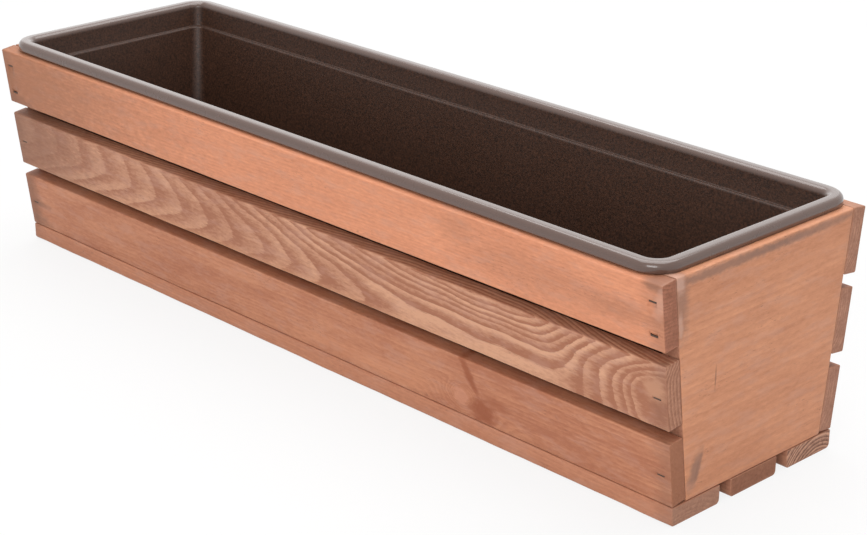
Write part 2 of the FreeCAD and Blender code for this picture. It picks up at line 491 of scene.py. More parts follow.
def corner_radius(out, height):
    """Plan radius of a ring: concentric round the rim and the band, and growing down the tub."""
    if height > ledge - 1 * MM and out > wall_out(height, 1.5 * WALL):
        return MOUTH_CORNER + out
    depth = (ledge - height) / (ledge - floor_top)
    grown = TUB_CORNER + (FOOT_CORNER - TUB_CORNER) * min(max(depth, 0), 1)
    flat = wall_out(height, WALL + SHOULDER_WIDTH) - out
    return max(grown - max(flat - FOOT_FLAT, 0), LEAST_CORNER)


radii = [corner_radius(stop.x, stop.y) / MM for stop in section]
print(f"corner radii in the liner: {min(radii):.1f} to {max(radii):.1f} mm")


# %% Liner
RIM_BODY = 6 * MM            # width of the rim that is as smooth as its outer side


def liner_piece():
    """The dressed liner, lofted ring by ring."""
    points, faces, pebbled_shaded_wall = [], [], []
    count = len(ring(*mouth_half, MOUTH_CORNER))
    for out, height in section:
        half_x, half_y = mouth_half[0] + out, mouth_half[1] + out
        points += [(x, y, height) for x, y in ring(half_x, half_y, corner_radius(out, height))]
        # this mark also says where the walls are painted darker as shade
        pebbled_shaded_wall += [float(out < RIM_REACH - RIM_BODY)] * count
    rings = len(section)
    floor_ring = next(i for i, stop in enumerate(section) if stop.x < FLOOR_EDGE + 1 * MM)
    for level in range(rings):
        if level == floor_ring:
            faces.append([level * count + i for i in range(count)])
            faces.append([(level + 1) * count + i for i in reversed(range(count))])
            continue
        above = (level + 1) % rings
        for i in range(count):
            j = (i + 1) % count
            faces.append((level * count + i, level * count + j, above * count + j, above * count + i))
    piece = mesh_object("liner_shell", points, faces, {"pebbled_shaded_wall": pebbled_shaded_wall})
    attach(piece, "liner")
    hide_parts("liner")
    return piece


liner = liner_piece()
print("liner points:", len(liner.data.vertices))

# %% [markdown]
# ## Wiring shader nodes
# A finish is a small calculation done at every point of a surface. Written node by node it is long and hard
# to read, so a value in a node tree is wrapped here in a small class. Adding or multiplying two of them adds
# the Math node that does it, and the finishes below then read like the formulas they are.

# %% Values that wire themselves
class Flow:
    """A value in a node tree. Arithmetic on it adds Math nodes to the tree."""

    def __init__(self, bench, socket):
        self.bench, self.socket = bench, socket

    def __add__(self, other):
        return self.bench.math("ADD", self, other)

    def __sub__(self, other):
        return self.bench.math("SUBTRACT", self, other)

    def __rsub__(self, other):
        return self.bench.math("SUBTRACT", other, self)

    def __mul__(self, other):
        return self.bench.math("MULTIPLY", self, other)

    def __truediv__(self, other):
        return self.bench.math("DIVIDE", self, other)


class Bench:
    """A node tree on the workbench: each call adds one node and hands back what comes out of it."""

    def __init__(self, tree):
        self.tree = tree

    def plug(self, value, socket):
        """Feeds a socket from a flow, or sets it to a plain value."""
        if isinstance(value, Flow):
            self.tree.links.new(value.socket, socket)
        else:
            socket.default_value = value

    def add(self, kind, plugs=None, out=0, **settings):
        """One node of a kind, with some of its settings and inputs."""
        made = self.tree.nodes.new(f"ShaderNode{kind}")
        for setting, value in settings.items():
            setattr(made, setting, value)
        for socket, value in (plugs or {}).items():
            self.plug(value, made.inputs[socket])
        return Flow(self, made.outputs[out])

    def math(self, operation, *values, clamp=False):
        """One step of arithmetic."""
        return self.add("Math", dict(enumerate(values)), operation=operation, use_clamp=clamp)

    def scaled(self, vector, scale):
        """A vector times a number."""
        return self.add("VectorMath", {0: vector, "Scale": scale}, operation="SCALE")

    def xyz(self, x, y, z):
        """A vector made of three values."""
        return self.add("CombineXYZ", {"X": x, "Y": y, "Z": z})

    def parts(self, vector):
        """The three values of a vector."""
        made = self.add("SeparateXYZ", {"Vector": vector})
        return [Flow(self, output) for output in made.socket.node.outputs]

    def noise(self, point, detail=2.0, rough=0.5, out=0):
        """Smooth noise about 0.5, with features one unit across."""
        plugs = {"Vector": point, "Scale": 1.0, "Detail": detail, "Roughness": rough}
        return self.add("TexNoise", plugs, out)

    def spread(self, value, low, high, to_low=0.0, to_high=1.0, shape="LINEAR"):
        """The value stretched from one range to another, and held at its ends."""
        plugs = {"Value": value, "From Min": low, "From Max": high, "To Min": to_low, "To Max": to_high}
        return self.add("MapRange", plugs, interpolation_type=shape)

    def smooth(self, value, low, high):
        """A soft step from 0 to 1."""
        return self.spread(value, low, high, shape="SMOOTHSTEP")

    def blend(self, share, first, second):
        """Two colours mixed."""
        made = self.add("Mix", data_type="RGBA", clamp_result=False)
        sockets = made.socket.node.inputs
        for place, value in ((0, share), (6, first), (7, second)):
            self.plug((*value, 1.0) if isinstance(value, tuple) else value, sockets[place])
        return Flow(self, made.socket.node.outputs[2])


print("Math nodes wire themselves: a + b * c adds two nodes")

# %% [markdown]
# ## Shader groups
# An effect that several finishes share is a node group: one box with named inputs and outputs, which every
# material can place with values of its own. Groups here give out only numbers and colours. The shader that
# reads them stays in the material.

# %% Groups
SOCKET_KINDS = {float: "NodeSocketFloat", tuple: "NodeSocketVector"}


def shader_group(name, inputs, outputs, wire):
    """A shader node group: inputs map a name to its usual value, and outputs a name to its kind."""
    tree = bpy.data.node_groups.new(name, "ShaderNodeTree")
    for title, value in inputs.items():
        socket = tree.interface.new_socket(title, in_out="INPUT", socket_type=SOCKET_KINDS[type(value)])
        socket.default_value = value
    for title, kind in outputs.items():
        tree.interface.new_socket(title, in_out="OUTPUT", socket_type=f"NodeSocket{kind}")
    bench = Bench(tree)
    enter = tree.nodes.new("NodeGroupInput")
    leave = tree.nodes.new("NodeGroupOutput")
    given = {title: Flow(bench, enter.outputs[title]) for title in inputs}
    for title, value in wire(bench, given).items():
        bench.plug(value, leave.inputs[title])
    return tree


def use(bench, tree, plugs):
    """A group placed in a tree: gives what comes out of it, by name."""
    made = bench.tree.nodes.new("ShaderNodeGroup")
    made.node_tree = tree
    for title, value in plugs.items():
        bench.plug(value, made.inputs[title])
    return {output.name: Flow(bench, output) for output in made.outputs}


print("input kinds of a group:", ", ".join(kind.__name__ for kind in SOCKET_KINDS))

# %% [markdown]
# ## Growth rings
# Grain is not a picture on a board: it is where the saw met the rings of the tree. Rings are tubes round a
# pith that runs nearly along the board. With the pith's place known, the distance from it, counted in rings,
# gives straight lines on one face, pointed arches on another and arcs on the sawn ends, all from one formula.
# The wander keeps the tubes from being perfect, and a slow drift makes wet years wide and dry years narrow.
# In this group and the ones after it, every length is in millimetres.

# %% Round a pith
def wire_rings(bench, given):
    """Counts rings from a pith, through wood that sways."""
    x, y, z = bench.parts(given["Point"])
    seed = given["Seed"]
    broad = bench.noise(bench.xyz(x / 170 + seed, y / 45, z / 45), out=1)
    sway_y, sway_z, _ = bench.parts(broad)
    fine = bench.noise(bench.xyz(x / 38, y / 9 + seed, z / 9), 3.0)
    away_y = y - given["Pith Across"] + (sway_y - 0.5) * given["Wander"]
    away_z = z - given["Pith Depth"] + (sway_z - 0.5) * given["Wander"]
    radius = bench.math("SQRT", away_y * away_y + away_z * away_z)
    radius = radius + x * given["Climb"] + (fine - 0.5) * given["Wander"] * 0.12
    rings = radius / given["Ring Width"]
    years = bench.noise(bench.xyz(rings / 4.5, seed, 0.0), 1.0)
    return {"Rings": rings + (years - 0.5) * 2.2}


ring_inputs = {
    "Point": (0.0, 0.0, 0.0),
    "Pith Across": 0.0,
    "Pith Depth": -60.0,
    "Climb": 0.01,
    "Ring Width": 3.0,
    "Wander": 8.0,
    "Seed": 0.0,
}
growth_rings = shader_group("growth rings", ring_inputs, {"Rings": "Float"}, wire_rings)
print("growth rings:", len(growth_rings.nodes), "nodes")


# %% [markdown]
# ## Tongues and an eye
# The middle slat of the front was sawn flat, almost along the rings, and a branch started at its right end.
# So its rings show as broad tongues that point to the right, get longer as they go, and at last turn into
# near-straight lines that bend round an eye. A pith model would need a curved tree for this. It is simpler
# to write the ring number as a hill: it climbs along the board, and it bows more and more across it.

# %% Tongues
def wire_tongues(bench, given):
    """Counts rings along a flat-sawn face: a hill that climbs to the right and bows across the board."""
    x, y, z = bench.parts(given["Point"])
    sway = bench.noise(bench.xyz(x / 55 + given["Seed"], y / 16, z / 16), 3.0)
    # neighbouring years grow alike, so the pace of the tongues changes slowly
    years = bench.noise(bench.xyz(x / 48 + given["Seed"], 0.0, 0.0), 1.0)
    along = bench.math("SMOOTH_MIN", x, given["Straight From"], 120.0) + (years - 0.5) * 18.0
    crown = along * given["Crown Drift"] + given["Crown"]
    off = y - crown + (sway - 0.5) * given["Wander"]
    near = bench.math("SMOOTH_MAX", off, 0.0, 10.0) * given["Slope Near"]
    far = bench.math("SMOOTH_MAX", off - 20.0, 0.0, 12.0) * given["Slope Far"]
    above = (near + far) * bench.spread(x, -230.0, 200.0, 0.1, 1.0)
    below = bench.math("SMOOTH_MAX", off * -1.0, 0.0, 10.0) * 0.075
    return {"Rings": along / given["Pitch"] + given["First"] + above + below}


tongue_inputs = {
    "Point": (0.0, 0.0, 0.0),
    "Pitch": 35.0,
    "Straight From": 90.0,
    "Crown": -16.0,
    "Crown Drift": -0.055,
    "Slope Near": 0.05,
    "Slope Far": 0.17,
    "First": 0.02,
    "Wander": 5.0,
    "Seed": 0.0,
}
tongue_rings = shader_group("tongue rings", tongue_inputs, {"Rings": "Float"}, wire_tongues)
print("tongue rings:", len(tongue_rings.nodes), "nodes")


# %% Eye
def wire_eye(bench, given):
    """Bends rings round an eye: near it, its own closed rings take over from the ones that come in."""
    x, y, z = bench.parts(given["Point"])
    off = y - given["Eye Across"]
    across = off * bench.spread(off, -10.0, 10.0, given["Stretch Below"], given["Stretch Above"])
    along = x - given["Eye Along"] - bench.math("SMOOTH_MAX", off, 0.0, 12.0) * given["Lean"]
    sway = bench.noise(bench.xyz(x / 16, y / 8, z / 8), 2.0)
    away = bench.math("SQRT", along * along + across * across) + (sway - 0.5) * given["Wander"]
    away = bench.math("SMOOTH_MAX", away, given["Heart"], given["Heart"] * 0.5)
    round_eye = bench.math("LOGARITHM", away / given["Reach"], given["Growth"])
    round_eye = round_eye + bench.math("SMOOTH_MAX", away - 70.0, 0.0, 30.0) * 0.065
    rings = bench.math("SMOOTH_MIN", given["Rings"], round_eye, given["Merge"])
    return {"Rings": rings + (z - given["Face"]) * given["Depth"]}


eye_inputs = {
    "Point": (0.0, 0.0, 0.0),
    "Rings": 0.0,
    "Eye Along": 0.0,
    "Eye Across": 0.0,
    "Stretch Above": 1.5,
    "Stretch Below": 0.6,
    "Lean": 0.9,
    "Heart": 17.0,
    "Reach": 37.0,
    "Growth": 1.33,
    "Merge": 3.0,
    "Face": 7.25,
    "Depth": 0.3,
    "Wander": 4.0,
}
eye_rings = shader_group("eye", eye_inputs, {"Rings": "Float"}, wire_eye)
print("eye:", len(eye_rings.nodes), "nodes")


# %% [markdown]
# ## From a ring number to a tone
# Each year the tree lays soft pale wood and closes it with a thin hard line. Stain sinks into the soft wood
# and stays off the hard line, so on a stained board the late wood ends up as the pale part, with one sharp
# side and one soft side. The sharp side is feathered by the fibres, so the ring number is shaken by a noise
# that is stretched far along the grain before its fraction is taken.

# %% Ring tone
def wire_tone(bench, given):
    """How much of the pale late wood shows, from a ring number."""
    x, y, z = bench.parts(given["Point"])
    jag = bench.noise(bench.xyz(x / 16, y / 1.1, z / 1.1), 3.0, 0.6)
    rings = given["Rings"] + (jag - 0.5) * given["Feather"]
    year = bench.math("FLOOR", rings)
    part = rings - year
    soft_side = bench.smooth(part, 0.02, given["Full"])
    sharp_side = bench.smooth(part, 0.9, 1.0)
    luck = bench.add("TexWhiteNoise", {"W": year}, noise_dimensions="1D")
    strength = luck * 0.45 + 0.55
    drift = bench.noise(bench.xyz(x / 130, y / 13, z / 13 + 5.0), 2.0)
    shown = 1.0 - given["Fade"] * (1.0 - bench.smooth(drift, 0.38, 0.62))
    return {"Pale": soft_side * (1.0 - sharp_side) * strength * shown}


tone_inputs = {"Point": (0.0, 0.0, 0.0), "Rings": 0.0, "Feather": 0.5, "Full": 0.8, "Fade": 0.6}
ring_tone = shader_group("ring tone", tone_inputs, {"Pale": "Float"}, wire_tone)
print("ring tone:", len(ring_tone.nodes), "nodes")


# %% [markdown]
# ## Fibres, flecks and blotches
# Close up, pine shows fine fibres and short dark flecks where resin canals were cut open. From further off
# the eye catches only clouds where the board drank more stain. All three are noise, differing in size and
# in how far they are drawn out along the grain, so they share one group.

# %% Fibre
def wire_fibre(bench, given):
    """Noise of five sizes, each drawn out along the grain."""
    x, y, z = bench.parts(given["Point"])
    seed = given["Seed"]
    fine = bench.noise(bench.xyz(x / 18 + seed, y / 0.7, z / 0.7), 2.0, 0.6)
    coarse = bench.noise(bench.xyz(x / 60, y / 2.4 + seed, z / 2.4), 2.0, 0.6)
    cells = bench.noise(bench.xyz(x / 4 + seed, y / 0.9, z / 0.9), 1.0)
    rare = bench.noise(bench.xyz(x / 45, y / 14 + seed, z / 14), 2.0)
    flecks = bench.smooth(cells, 0.64, 0.72) * bench.smooth(rare, 0.5, 0.64)
    cloud = bench.noise(bench.xyz(x / 70 + seed, y / 17, z / 17), 3.0, 0.6)
    patch = bench.noise(bench.xyz(x / 6.5, y / 2.2 + seed, z / 2.2), 3.0, 0.7)
    rosy = bench.noise(bench.xyz(x / 24, y / 8, z / 8 + seed), 3.0, 0.6)
    return {
        "Fibre": fine * 0.4 + coarse * 0.6,
        "Flecks": flecks,
        "Cloud": cloud,
        "Mottle": patch,
        "Rosy": bench.smooth(rosy, 0.46, 0.68),
    }


fibre_inputs = {"Point": (0.0, 0.0, 0.0), "Seed": 0.0}
fibre_outputs = {title: "Float" for title in ("Fibre", "Flecks", "Cloud", "Mottle", "Rosy")}
wood_fibre = shader_group("wood fibre", fibre_inputs, fibre_outputs, wire_fibre)
print("wood fibre:", len(wood_fibre.nodes), "nodes")


# %% [markdown]
# ## Rubbed edges and darker ends
# Handling rubs the stain off the long edges in places. Near the sawn ends the wood is darker: partly grime,
# and partly painted shade that stands in for light falling off towards the ends. The mesh marks its edges and
# ends as it is built. The group breaks those marks up with noise, so that the worn places come and go instead
# of outlining the board like a border.

# %% Wear
def wire_wear_and_end_shade(bench, given):
    """Where the stain is rubbed off, and where the ends are darker with grime and painted shade."""
    x, y, z = bench.parts(given["Point"])
    seed = given["Seed"]
    patchy = bench.noise(bench.xyz(x / 22 + seed, y / 9, z / 9), 3.0, 0.6)
    nicks = bench.noise(bench.xyz(x / 3, y / 2 + seed, z / 2), 2.0)
    rubbed = given["Edge"] * bench.smooth(patchy + nicks * 0.35, 0.62, 0.88)
    to_end = given["Half Length"] - bench.math("ABSOLUTE", x)
    ragged = to_end + (patchy - 0.5) * 24.0 + (nicks - 0.5) * 5.0
    # darker ends: partly grime, partly painted shade for light that falls off towards the ends
    grime_and_shade = 1.0 - bench.smooth(ragged, 1.0, given["End Reach"])
    return {"Rubbed": rubbed, "Grime And Shade": grime_and_shade}


wear_and_shade_inputs = {"Point": (0.0, 0.0, 0.0), "Edge": 0.0, "Half Length": 381.0, "End Reach": 22.0, "Seed": 0.0}
wear_and_end_shade = shader_group("board wear", wear_and_shade_inputs, {"Rubbed": "Float", "Grime And Shade": "Float"}, wire_wear_and_end_shade)
print("board wear:", len(wear_and_end_shade.nodes), "nodes")

# %% [markdown]
# ## Marks
# Every real board has marks of its own: a knot's dark shadow, a scuff, a water line. One group draws them
# all: an oval with a place and two half sizes, whose rim is broken up by noise. Many small calls of one
# group are easier to keep straight than one long formula.

# %% Mark
def wire_mark(bench, given):
    """An oval with a ragged rim."""
    x, y, z = bench.parts(given["Point"])
    ragged = bench.noise(bench.xyz(x / 7, y / 4, z / 4), 3.0, 0.6)
    off = y - given["Across"]
    along = (x - given["Along"] - off * given["Lean"]) / given["Half Along"]
    across = off / given["Half Across"]
    away = bench.math("SQRT", along * along + across * across) + (ragged - 0.5) * given["Ragged"]
    return {"Mark": 1.0 - bench.smooth(away, 1.0 - given["Soft"], given["Soft"] + 1.0)}


mark_inputs = {
    "Point": (0.0, 0.0, 0.0),
    "Along": 0.0,
    "Across": 0.0,
    "Half Along": 10.0,
    "Half Across": 5.0,
    "Lean": 0.0,
    "Soft": 0.5,
    "Ragged": 1.3,
}
board_mark = shader_group("mark", mark_inputs, {"Mark": "Float"}, wire_mark)
print("mark:", len(board_mark.nodes), "nodes")

# %% [markdown]
# ## Stained pine
# The crate is dipped in a reddish-brown stain: matt, a little see-through, and never even. Every board gets
# a material of its own from the same groups, with its own place in the log, its own two tones and its own
# seed, because eleven boards with one grain would look printed. Distances are turned into millimetres once,
# at the start, so all the numbers below are sizes on the real wood.

# %% Material start
def new_finish(name):
    """A new material: its bench, its shader node and the point in millimetres in the piece's own axes."""
    material = bpy.data.materials.new(name)
    material.use_nodes = True
    bench = Bench(material.node_tree)
    shader = material.node_tree.nodes["Principled BSDF"]
    point = bench.scaled(bench.add("TexCoord", out="Object"), 1 / MM)
    return material, bench, shader, point


def surface_mark(bench, name):
    """A float mark of the mesh."""
    return bench.add("Attribute", out="Fac", attribute_name=name)


print("a metre on the piece is", round(1 / MM), "in a finish")

# %% What pine boards share
PINE = {
    "pale": (0.62, 0.30, 0.175),         # stain on the late wood
    "dark": (0.40, 0.165, 0.095),        # stain on the early wood
    "across": 10.0,                      # place of the pith up the face, from the board's middle
    "depth": -55.0,                      # and out of the face
    "climb": 0.012,                      # how fast the rings run out of the board
    "ring": 3.0,                         # width of a year
    "wander": 8.0,                       # how far the rings sway
    "feather": 0.7,                      # how far fibres shake a ring's edge, in rings
    "fade": 0.7,                         # how much of the rings is lost in places
    "cloud": 0.7,                        # contrast of broad blotches
    "mottle": 1.3,                       # and of small ones
    "rosy": 0.25,                        # how far rosy places turn rosy
    "contrast": (0.5, 0.5),              # of the rings, at the left and at the right end
    "end_contrast": 0.5,                 # of the rings on the sawn ends
    "end_pale": (0.50, 0.245, 0.155),    # early wood on a sawn end
    "end_dark": (0.27, 0.115, 0.068),    # and late wood there
    "grime_shade": 0.35,                        # how dark the ends get, with grime and painted shade
    "marks": [],
}
print("a pine board's look has", len(PINE), "values")


# %% Rings through a board
def board_rings(bench, point, seed, look):
    """Ring numbers round a pith that lies where the board's look says."""
    plugs = {
        "Point": point,
        "Pith Across": look["across"],
        "Pith Depth": look["depth"],
        "Climb": look["climb"],
        "Ring Width": look["ring"],
        "Wander": look["wander"],
        "Seed": seed,
    }
    return use(bench, growth_rings, plugs)["Rings"]


print("the pith of a plain board lies", -PINE["depth"], "mm behind its middle")


# %% Colour of the faces
FIBRE_SHARE = 0.6            # how much the fibres change the tone
FLECK_SHARE = 0.35           # how dark the flecks are
RUBBED_SHARE = 0.5           # how much stain is gone from a rubbed place
STAINS = {
    "Rosy": (0.55, 0.31, 0.235),
    "Flecks": (0.16, 0.06, 0.035),
    # darker ends: grime, and painted shade for light falling off towards the ends
    "Grime And Shade": (0.19, 0.095, 0.065),
    "Rubbed": (0.68, 0.36, 0.23),
}


def face_colour(bench, point, look, effects):
    """The stained face: rings between two tones, then clouds, flecks, wear, and grime with painted shade at
    the ends over them.
    """
    x, _, _ = bench.parts(point)
    half_length = look["half_length"]
    contrast = bench.spread(x, -half_length, half_length * 0.6, *look["contrast"])
    uneven = (effects["Fibre"] - 0.5) * FIBRE_SHARE + (effects["Mottle"] - 0.5) * look["mottle"]
    uneven = uneven + (effects["Cloud"] - 0.5) * look["cloud"]
    mix = (effects["Pale"] - 0.5) * contrast + uneven + 0.5
    held = bench.math("MULTIPLY", mix, 1.0, clamp=True)  # kept between 0 and 1
    colour = bench.blend(held, look["dark"], look["pale"])
    amounts = {"Rosy": look["rosy"], "Flecks": FLECK_SHARE, "Grime And Shade": look["grime_shade"], "Rubbed": RUBBED_SHARE}
    for effect, amount in amounts.items():
        colour = bench.blend(effects[effect] * amount, colour, STAINS[effect])
    return colour


print("stains:", ", ".join(STAINS))


# %% Marks on a face
def marked(bench, point, colour, marks):
    """The colour with a board's own marks laid over it."""
    for along, across, half_along, half_across, tilt, soft, amount, stain in marks:
        plugs = {
            "Point": point,
            "Along": along,
            "Across": across,
            "Half Along": half_along,
            "Half Across": half_across,
            "Lean": tilt,
            "Soft": soft,
        }
        colour = bench.blend(use(bench, board_mark, plugs)["Mark"] * amount, colour, stain)
    return colour


UMBER = (0.20, 0.09, 0.055)
GREY_BROWN = (0.225, 0.125, 0.092)
ROSE = (0.64, 0.38, 0.29)
for title, stain in (("umber", UMBER), ("grey-brown", GREY_BROWN), ("rose", ROSE)):
    print(title, f"has a lightness of {sum(stain) / 3:.2f}")


# %% Colour of the sawn ends
END_FIBRE_SHARE = 0.8
END_MOTTLE_SHARE = 1.1


def end_colour(bench, look, effects):
    """End grain soaks up more stain, and there the late wood is the dark part."""
    line = (1.0 - effects["Pale"]) * look["end_contrast"] + (1 - look["end_contrast"]) * 0.5
    line = line + (effects["Fibre"] - 0.5) * END_FIBRE_SHARE + (effects["Mottle"] - 0.5) * END_MOTTLE_SHARE
    return bench.blend(line, look["end_pale"], look["end_dark"])


print("rings show on a sawn end by", PINE["end_contrast"], "and on a face by", PINE["contrast"][0])


# %% Pine
SMOOTH_WOOD, ROUGH_WOOD = 0.52, 0.72
WOOD_SHINE = 0.35            # a stained board mirrors less than bare lacquer would
WOOD_RELIEF = 0.25 * MM      # height of the fibres


def pine(name, seed, rings=board_rings, **own):
    """Stained pine for one board. Own values take the place of the shared ones."""
    look = {**PINE, **own}
    material, bench, shader, point = new_finish(name)
    number = rings(bench, point, seed, look)
    tone_plugs = {"Point": point, "Rings": number, "Feather": look["feather"], "Fade": look["fade"]}
    edge, end = surface_mark(bench, "edge"), surface_mark(bench, "end")
    wear_and_shade_plugs = {"Point": point, "Edge": edge, "Half Length": look["half_length"], "Seed": seed}
    effects = {
        **use(bench, ring_tone, tone_plugs),
        **use(bench, wood_fibre, {"Point": point, "Seed": seed}),
        **use(bench, wear_and_end_shade, wear_and_shade_plugs),
    }
    face = marked(bench, point, face_colour(bench, point, look, effects), look["marks"])
    colour = bench.blend(end, face, end_colour(bench, look, effects))
    bench.plug(colour, shader.inputs["Base Color"])
    rough = bench.spread(effects["Fibre"] + effects["Rubbed"] * 0.3, 0.2, 0.9, SMOOTH_WOOD, ROUGH_WOOD)
    bench.plug(rough, shader.inputs["Roughness"])
    shader.inputs["Specular IOR Level"].default_value = WOOD_SHINE

    relief = effects["Pale"] * 0.35 + effects["Fibre"] * 0.9 - effects["Flecks"] * 0.8
    bump_plugs = {"Height": relief + effects["Mottle"] * 0.8, "Strength": 0.5, "Distance": WOOD_RELIEF}
    bench.plug(bench.add("Bump", bump_plugs), shader.inputs["Normal"])
    return material


looks = {}
print("the pine finish takes one look for each board:", len(boards))

# %% [markdown]
# ## The top front slat
# The best board went to the top: even, bright and straight-grained, so its pith lies far off to one side. It
# is darker towards its left end, where a broad soft mark paints the shade of light that falls off that way. A
# mark is given as its place along and up the face, its two half sizes, tilt, softness, strength and stain.

# %% Top slat
looks["front_slat_top"] = {
    "pale": (0.78, 0.33, 0.18),
    "dark": (0.55, 0.21, 0.11),
    "across": 90.0,
    "depth": -20.0,
    "ring": 2.8,
    "contrast": (0.3, 0.3),
    "end_contrast": 0.7,
    "end_pale": (0.46, 0.175, 0.10),
    "end_dark": (0.24, 0.085, 0.043),
    "marks": [
        # painted shade: darker towards the left end, where the light falls off
        (-385, 0, 165, 70, 0, 0.9, 0.6, (0.22, 0.092, 0.045)),
        (-372, -22, 22, 7, 0, 0.6, 0.4, UMBER),
        (265, -2, 60, 14, 0, 0.7, 0.2, UMBER),
        (190, 12, 16, 9, 0, 0.8, 0.2, UMBER),
        (345, -4, 30, 7, 0, 0.8, 0.3, UMBER),
        (374, 24, 9, 5, 0, 0.6, 0.6, UMBER),
        (379, 12, 5, 12, 0.3, 0.5, 0.35, ROSE),
    ],
}
print("marks on the top slat:", len(looks["front_slat_top"]["marks"]))

# %% [markdown]
# ## The middle front slat
# This is the board that everyone sees first: tongues on the left, lines in the middle, an eye on the right.
# Its rings come from the tongue and eye groups instead of the pith, and their contrast grows to the right.

# %% Middle slat
def middle_slat_rings(bench, point, seed, look):
    """Tongues that run into an eye by the right end."""
    tongues = use(bench, tongue_rings, {"Point": point, "Seed": 3.0})["Rings"]
    plugs = {"Point": point, "Rings": tongues, "Eye Along": 369.0, "Eye Across": 3.0}
    return use(bench, eye_rings, plugs)["Rings"]


looks["front_slat_middle"] = {
    "rings": middle_slat_rings,
    "pale": (0.64, 0.34, 0.21),
    "dark": (0.36, 0.14, 0.075),
    "contrast": (0.5, 1.3),
    "feather": 0.3,
    "fade": 0.35,
    "end_contrast": 0.8,
    "end_pale": (0.54, 0.26, 0.16),
    "end_dark": (0.27, 0.11, 0.06),
    "marks": [
        # painted shade: darker towards the left end, where the light falls off
        (-385, 5, 90, 60, 0, 0.8, 0.6, UMBER),
        (-60, -25, 240, 4, 0, 0.9, 0.35, (0.66, 0.32, 0.17)),
        (370, 5, 9, 9, 0, 0.5, 0.45, (0.66, 0.36, 0.22)),
    ],
}
print("marks on the middle slat:", len(looks["front_slat_middle"]["marks"]))

# %% [markdown]
# ## The bottom front slat
# A knot sits low on this board. Rings bend round a knot just as they bend round the eye, only tighter, so
# the same group draws it with a small heart. The wood beside a knot is full of resin and takes the stain
# dark and red, which a few russet marks add.

# %% Bottom slat
RUSSET = (0.31, 0.088, 0.036)


def bottom_slat_rings(bench, point, seed, look):
    """Fairly straight rings with a knot in them."""
    plugs = {"Point": point, "Pith Across": 60.0, "Pith Depth": -30.0, "Ring Width": 3.4, "Seed": 5.1}
    knot = {
        "Point": point,
        "Rings": use(bench, growth_rings, plugs)["Rings"],
        "Eye Along": 180.0,
        "Eye Across": -7.5,
        "Stretch Above": 1.4,
        "Stretch Below": 1.4,
        "Lean": 0.0,
        "Heart": 5.0,
        "Reach": 0.45,
        "Growth": 1.2,
        "Merge": 3.0,
        "Depth": 0.1,
    }
    return use(bench, eye_rings, knot)["Rings"]


looks["front_slat_bottom"] = {
    "rings": bottom_slat_rings,
    "pale": (0.58, 0.255, 0.14),
    "dark": (0.41, 0.15, 0.078),
    "contrast": (0.2, 0.5),
    "cloud": 1.9,
    "end_contrast": 0.2,
    "end_pale": (0.38, 0.15, 0.075),
    "end_dark": (0.27, 0.10, 0.048),
    "marks": [
        (-378, 4, 14, 30, 0, 0.6, 0.5, UMBER),
        (-362, -2, 12, 3, 0, 0.6, 0.5, UMBER),
        (-368, -20, 15, 7, 0, 0.6, 0.45, UMBER),
        (201, -15, 13, 10, 0, 0.5, 0.9, RUSSET),
        (189, 12, 4, 15, -0.5, 0.5, 0.9, RUSSET),
        (214, -3, 14, 4, -1.0, 0.7, 0.55, RUSSET),
        (178, -9, 8, 7, 0, 0.25, 0.45, (0.66, 0.31, 0.20)),
        (90, -14, 60, 7, 0, 0.8, 0.35, (0.68, 0.30, 0.16)),
    ],
}
print("marks on the bottom slat:", len(looks["front_slat_bottom"]["marks"]))

# %% [markdown]
# ## The right end board
# This wide board shows hardly a ring, only soft bands. It has rubbed against things: there is a grey-brown
# band under the rim, a scuff low on the left, a small crack, and rosy bare patches by its front edge.

# %% End board
looks["end_board_right"] = {
    "pale": (0.71, 0.325, 0.178),
    "dark": (0.49, 0.198, 0.10),
    "across": 130.0,
    "depth": -25.0,
    "ring": 6.0,
    "contrast": (0.3, 0.3),
    "mottle": 1.0,
    "cloud": 1.0,
    "grime_shade": 0.0,
    "marks": [
        (-40, 80, 75, 3.5, 0, 0.6, 0.7, GREY_BROWN),
        (45, 80.5, 60, 3, 0, 0.7, 0.65, GREY_BROWN),
        (-92, 66, 8, 26, -0.1, 0.6, 0.6, GREY_BROWN),
        (-93, 80, 5, 7, -0.1, 0.5, 0.6, ROSE),
        (-90, 50, 2.2, 8, -0.1, 0.6, 0.5, ROSE),
        (-67, -64, 5, 12, 0.3, 0.7, 0.7, GREY_BROWN),
        (-63, -62, 2, 10, 0.3, 0.5, 0.5, (0.25, 0.125, 0.085)),
        (-50, 0, 0.8, 8, 0, 0.5, 0.6, UMBER),
    ],
}
print("marks on the end board:", len(looks["end_board_right"]["marks"]))

# %% [markdown]
# ## The floor slats
# Only their front edge and their sawn ends show, so these three differ mainly there. The back one was cut
# near the pith, and its end shows the rings as clear arcs.

# %% Floor slats
looks["floor_slat_front"] = {
    "pale": (0.62, 0.28, 0.16),
    "dark": (0.45, 0.18, 0.10),
    "end_pale": (0.52, 0.27, 0.175),
    "end_dark": (0.29, 0.135, 0.083),
    "depth": 60.0,
}
looks["floor_slat_middle"] = {
    "end_pale": (0.36, 0.15, 0.08),
    "end_dark": (0.20, 0.07, 0.033),
    "end_contrast": 0.25,
    "depth": 40.0,
}
looks["floor_slat_back"] = {
    "end_pale": (0.66, 0.36, 0.235),
    "end_dark": (0.17, 0.07, 0.042),
    "end_contrast": 1.0,
    "across": -12.0,
    "depth": 30.0,
    "wander": 2.5,
    "feather": 0.3,
    "fade": 0.1,
}
print("boards with a look of their own:", len(looks))

# %% [markdown]
# ## A finish for every board
# The boards that nobody looks at closely, at the back and on the left, keep the shared look. Each still gets
# its own seed, and with it grain of its own.

# %% Pine on all boards
FIRST_SEED, SEED_STEP = 1.3, 3.7
for number, (node, piece) in enumerate(boards.items()):
    half, _ = measured(node)
    look = {"half_length": half[0] / MM, **looks.get(node, {})}
    piece.data.materials.append(pine(f"pine {node}", FIRST_SEED + SEED_STEP * number, **look))
print("pine materials:", len(boards))
